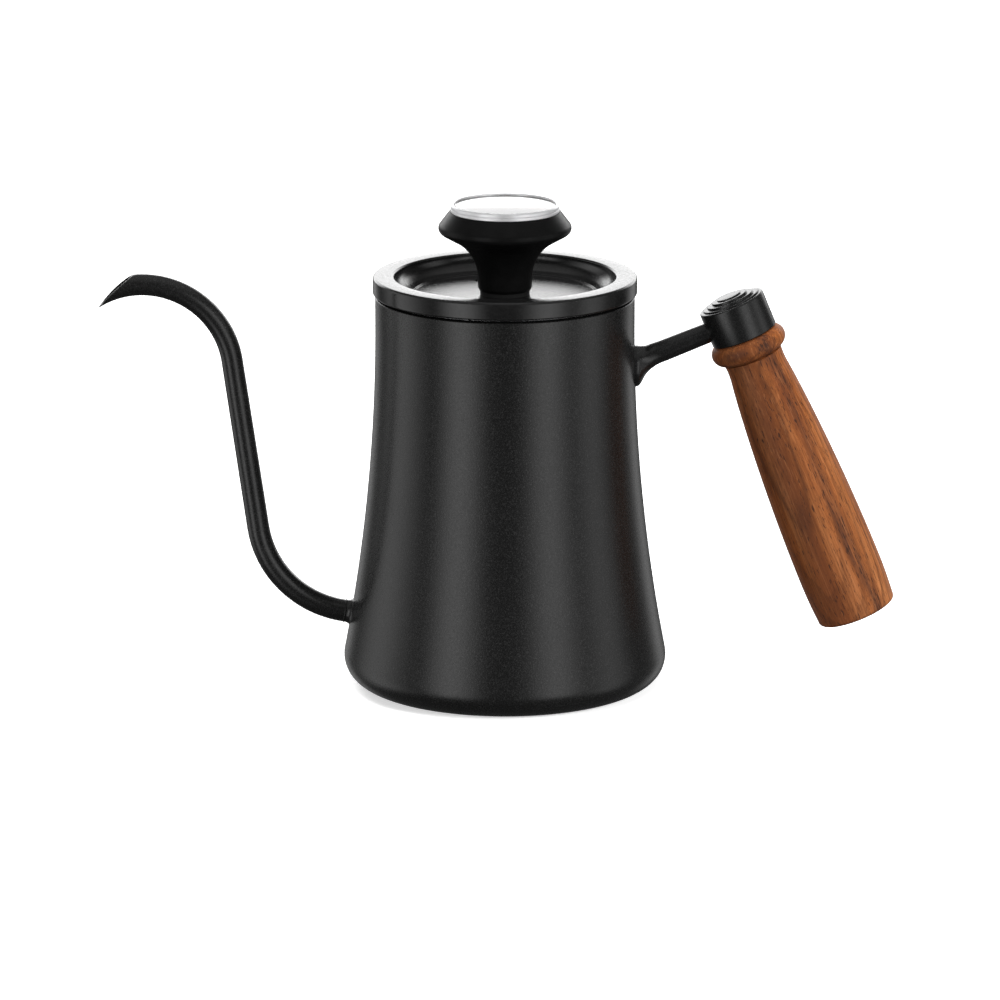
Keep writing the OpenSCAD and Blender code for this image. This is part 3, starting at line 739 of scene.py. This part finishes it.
def figures(name, labels, material):
    """Raised figures as one piece: labels are (text, radius, angle from +X, height)."""
    joined = bmesh.new()
    for text, radius, angle, height in labels:
        curve = bpy.data.curves.new("figure", "FONT")
        curve.body = text
        curve.align_x = curve.align_y = "CENTER"
        curve.size = height * MM
        curve.extrude = PRINT * MM / 2
        curve.offset = 0.02 * height * MM
        curve.resolution_u = 3
        obj = bpy.data.objects.new("figure", curve)
        scene.collection.objects.link(obj)
        bpy.context.view_layer.update()
        mesh = bpy.data.meshes.new_from_object(obj.evaluated_get(bpy.context.evaluated_depsgraph_get()))
        x, y = along((0, 0), angle, radius)
        mesh.transform(Matrix.Translation(Vector((x, y, DIAL_Z + PRINT / 2)) * MM)
                       @ Matrix.Rotation(radians(angle - 90), 4, "Z"))
        joined.from_mesh(mesh)
        bpy.data.objects.remove(obj)
        bpy.data.curves.remove(curve)
    bmesh.ops.remove_doubles(joined, verts=joined.verts, dist=1e-8)
    out = bpy.data.meshes.new(name)
    joined.to_mesh(out)
    joined.free()
    piece = make_object(name, out, "thermometer", [material])


def to_celsius(fahrenheit):
    return (fahrenheit - 32) / 1.8


def build_dial():
    ring_r, tick_gap, tick_half = 11.2, 0.35, 0.13
    red_ticks = []
    for c in range(101):
        reach = 2.1 if c % 10 == 0 else 1.5 if c % 5 == 0 else 1.05
        red_ticks.append(sector(ring_r + tick_gap, ring_r + reach, c - tick_half, c + tick_half))
    black_ticks = []
    edge = ring_r - tick_gap
    for f in range(32, 213, 2):
        c = to_celsius(f)
        length = 1.5 if (f - 32) % 18 == 0 else 0.8
        black_ticks.append(sector(edge - length, edge, c - tick_half, c + tick_half))
    patches("dial_ticks_celsius", red_ticks + [sector(ring_r + 0.28, ring_r + 0.4, 0, 100)], INK_RED)
    patches("dial_ticks_fahrenheit", black_ticks + [sector(ring_r - 0.4, ring_r - 0.28, 0, 100)], INK_BLACK)
    patches("dial_band_white", [sector(ring_r - 0.22, ring_r + 0.22, 0, 100, PRINT)], INK_WHITE)
    patches("dial_zone_red", [sector(9.3, 13.7, 80, 94.5, 2 * PRINT)], ZONE_RED)
    patches("dial_zone_amber", [sector(9.2, 13.0, 60, 70, 2 * PRINT)], ZONE_AMBER)
    outer = [(str(c), 14.45, dial_angle(c), 1.75) for c in range(0, 101, 10)]
    inner = [(str(f), 8.1, dial_angle(to_celsius(f)), 1.35) for f in range(32, 213, 18)]
    figures("dial_figures_celsius", outer + [("°C", 4.9, 90, 1.6)], INK_RED)
    figures("dial_figures_fahrenheit", inner + [("°F", 3.0, 90, 1.5)], INK_BLACK)


def build_pointer():
    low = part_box("pointer")[0].z / MM
    length, tail, blade, tip, tail_w, thick = 13.6, 7.0, 1.4, 0.35, 1.8, 0.3
    outline = [(length, -tip / 2), (length, tip / 2), (0.0, blade / 2), (-1.6, 0.45)]
    outline += [(-tail / 2 + 1.2, tail_w / 2)]
    outline += arc((tail_w / 2 - tail, 0), tail_w / 2, 90, 270, 12)
    outline += [(-tail / 2 + 1.2, -tail_w / 2), (-1.6, -0.45), (0.0, -blade / 2)]
    turn = radians(dial_angle(READING))
    rings = [[(x * cos(turn) - y * sin(turn), x * sin(turn) + y * cos(turn), low + h)
              for x, y in outline] for h in (0, thick)]
    needle = make_object("pointer_needle", loft("pointer_needle", rings), "pointer", [POINTER_RED])
    bevel = needle.modifiers.new("edge", "BEVEL")
    bevel.width = 0.06 * MM
    bevel.segments = 2
    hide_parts("pointer")
    hub_r, hub_top, dimple_r, dimple_floor = 1.6, low + 1.0, 0.55, low + 0.9
    hub = rounded([(0, low + thick, 0), (hub_r, low + thick, 0), (hub_r, hub_top, 0.25),
                   (dimple_r, hub_top, 0.05), (0.5, dimple_floor, 0), (0, dimple_floor, 0)])
    hub_piece = make_object("pointer_hub", lathe("pointer_hub", hub, 48), "pointer", [HUB_CREAM])


def build_instrument():
    lens_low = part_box("thermo_lens")[0].z / MM
    lens_r, edge_r, dome, lens_h = 17.0, BEZEL_OPEN_R - 0.2, 0.4, 1.0
    ball_r = (edge_r ** 2 + dome ** 2) / (2 * dome)
    lens = ([(0, lens_low), (lens_r, lens_low), (lens_r, lens_low + lens_h)]
            + arc((0, lens_low + lens_h + dome - ball_r), ball_r, degrees(acos(edge_r / ball_r)), 90, 24))
    lens_piece = make_object("domed_lens", lathe("domed_lens", lens, 96), "thermometer", [GLASS])
    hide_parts("thermo_lens")
    wall, lip, groove = 0.5, 0.6, 0.16
    bezel = rounded([(BEZEL_R - wall, KNOB_TOP, 0.1), (BEZEL_R, KNOB_TOP, 0.2),
                     (BEZEL_R, KNOB_TOP + 0.9, 0.1), (BEZEL_R - groove, KNOB_TOP + 1.05, 0.1),
                     (BEZEL_R, KNOB_TOP + 1.25, 0.2),
                     (BEZEL_R, BEZEL_TOP, 0.75), (BEZEL_OPEN_R, BEZEL_TOP, 0.28),
                     (BEZEL_OPEN_R, BEZEL_TOP - lip, 0.0), (BEZEL_R - wall, BEZEL_TOP - lip, 0.0)], 6)
    bezel_piece = make_object("rolled_bezel", lathe("rolled_bezel", bezel, 192), "thermometer", [STEEL_BEZEL])
    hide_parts("thermo_bezel")
    build_dial()
    build_pointer()


# ---------------------------------------------------------------- carried-over CAD nodes

def paint_frame():
    """Materials of the CAD nodes that are shown as they are."""
    paint = {
        STEEL_TURNED: ["base_plate", "knob_washer", "bolt_washer"],
        # the skirt's rim carries painted shade for the seam under the lid
        SKIRT_STEEL_AND_SHADE: ["lid_skirt"],
        STEEL_ROUND: ["knob_bolt", "knob_nut", "handle_bolt"],
        STEEL_BRIGHT: ["thermo_case", "dial_ring", "probe_stem", "pointer_shaft"],
        BRASS: ["grip_insert", "shaft_bush", "coil_anchor"],
        BIMETAL: ["bimetal_coil"],
        RUBBER: ["knob_spacer", "lens_gasket"],
        DIAL_GREY: ["dial_plate"],
    }
    for material, nodes in paint.items():
        for name in nodes:
            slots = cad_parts[name].material_slots
            if not slots:
                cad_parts[name].data.materials.append(material)
            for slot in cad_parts[name].material_slots:
                slot.material = material


# ---------------------------------------------------------------- studio

# soft upright bands of light, as (degrees round from the camera towards +X, half width, brightness)
BANDS = ((-39, 27, 1.9), (37, 27, 1.6), (-100, 38, 1.05), (80, 26, 0.85), (146, 18, 0.6), (-157, 18, 0.5))
WALL_GLOW, DOME_GLOW, BASE_GLOW = 2.9, 0.3, 0.07


class World(Shader):
    """The shader's short ways of adding nodes, for the world's background."""

    def __init__(self, name):
        scene.world = bpy.data.worlds.new(name)
        scene.world.use_nodes = True
        self.tree = scene.world.node_tree
        self.main = self.tree.nodes["Background"]

    def add_all(self, values):
        total = values[0]
        for value in values[1:]:
            total = self.maths("ADD", total, value)
        return total


def build_world():
    """Bands of light all round, a bright wall low behind, a weak dome, and plain white for the camera."""
    w = World("studio")
    direction = w.add("ShaderNodeTexCoord").outputs["Generated"]
    x, y, z = w.add("ShaderNodeSeparateXYZ", {0: direction}).outputs
    azimuth = w.maths("ARCTAN2", x, w.maths("MULTIPLY", y, -1.0))

    def off(centre):
        """Angle between a direction's azimuth and a band's middle."""
        turned = w.maths("ADD", azimuth, -radians(centre))
        wrapped = w.add("ShaderNodeMath", {0: turned, 1: pi, 2: -pi}, operation="WRAP").outputs[0]
        return w.maths("ABSOLUTE", wrapped)

    bands = w.add_all([w.span(off(centre), radians(half), 0.0, 0.0, peak, "SMOOTHSTEP")
                       for centre, half, peak in BANDS])
    upright = w.maths("MULTIPLY", w.span(z, -0.65, -0.4, 0.0, 1.0, "SMOOTHSTEP"),
                      w.span(z, 0.55, 0.4, 0.0, 1.0, "SMOOTHSTEP"))
    behind = w.maths("MULTIPLY", w.span(off(180), radians(50), radians(28), 0.0, WALL_GLOW, "SMOOTHSTEP"),
                     w.maths("MULTIPLY", w.span(z, 0.0, 0.08, 0.0, 1.0, "SMOOTHSTEP"),
                             w.span(z, 0.48, 0.36, 0.0, 1.0, "SMOOTHSTEP")))
    dome = w.span(z, 0.6, 0.85, 0.0, DOME_GLOW, "SMOOTHSTEP")
    light = w.add_all([w.maths("MULTIPLY", bands, upright), behind, dome, BASE_GLOW])
    seen = w.add("ShaderNodeLightPath").outputs["Is Camera Ray"]
    w.set(w.main, {"Color": grey(1.0), "Strength": w.maths("MAXIMUM", light, seen)})


def lamp(name, place, size, power, target=(0, 0, 0.07)):
    """A soft lamp that lights matt surfaces only, so it leaves no shape in the gloss."""
    light = bpy.data.lights.new(name, "AREA")
    light.shape = "DISK"
    light.size = size
    light.energy = power
    obj = bpy.data.objects.new(name, light)
    obj.location = place
    obj.rotation_euler = (Vector(target) - Vector(place)).to_track_quat("-Z", "Y").to_euler()
    obj.visible_camera = False
    obj.visible_glossy = False
    scene.collection.objects.link(obj)


def around(azimuth, distance, height):
    """A point round the kettle; azimuth 0 is at the camera, positive towards +X."""
    a = radians(azimuth)
    return (distance * sin(a), -distance * cos(a), height)


def build_studio():
    floor_white = Shader("floor_white", Roughness=0.9)
    speck = floor_white.noise(floor_white.place(), 0.02, 2.0)
    tone = floor_white.ramp(speck, [(0.3, grey(0.88)), (0.7, grey(0.92))])
    floor_white.set(floor_white.main, {"Base Color": tone, "Emission Color": grey(1.0),
                                       "Emission Strength": 0.5, "Specular IOR Level": 0.0})
    # a shallow bowl, white from every side
    reach, rise, bend, turns = 5.0, 3.0, 1.5, 96
    profile = [along((reach - bend, bend), a, bend) for a in range(-90, 1, 9)] + [(reach, rise)]
    rings = [[(r * cos(2 * pi * k / turns), r * sin(2 * pi * k / turns), z) for k in range(turns)]
             for r, z in profile]
    vertices = [(0, 0, 0)] + [p for ring in rings for p in ring]
    faces = [(0, 1 + k, 1 + (k + 1) % turns) for k in range(turns)]
    for i in range(len(rings) - 1):
        for k in range(turns):
            m = (k + 1) % turns
            inner, outer = 1 + i * turns, 1 + (i + 1) * turns
            faces.append((inner + k, outer + k, outer + m, inner + m))
    mesh = bpy.data.meshes.new("floor")
    mesh.from_pydata(vertices, [], faces)
    mesh.shade_smooth()
    mesh.materials.append(floor_white.material)
    floor = bpy.data.objects.new("floor", mesh)
    scene.collection.objects.link(floor)
    # the floor shows to the camera only: what the kettle mirrors comes from the bands alone
    floor.visible_glossy = False
    floor.visible_diffuse = False
    floor.visible_shadow = False
    build_world()
    lamp("top", (0, 0, 2.0), 1.6, 28.0)
    lamp("key", around(50, 1.8, 0.9), 0.7, 34.0)
    lamp("fill", around(-40, 1.8, 0.6), 0.7, 8.0)
    lamp("back_key", around(-150, 1.8, 1.0), 0.7, 24.0)


def build_camera():
    target = Vector((-1.6, 0, 60.4)) * MM
    distance, elevation = 2.0, radians(14.2)
    camera = bpy.data.cameras.new("camera")
    camera.sensor_width = 36
    camera.lens = 220.9
    camera.clip_end = 50
    obj = bpy.data.objects.new("camera", camera)
    obj.location = target + distance * Vector((0, -cos(elevation), sin(elevation)))
    obj.rotation_euler = (pi / 2 - elevation, 0, 0)
    scene.collection.objects.link(obj)
    scene.camera = obj


build_camera()
build_studio()
build_body()
build_spout()
build_handle()
build_lid()
build_knob()
build_instrument()
paint_frame()
scene.view_settings.view_transform = "Standard"
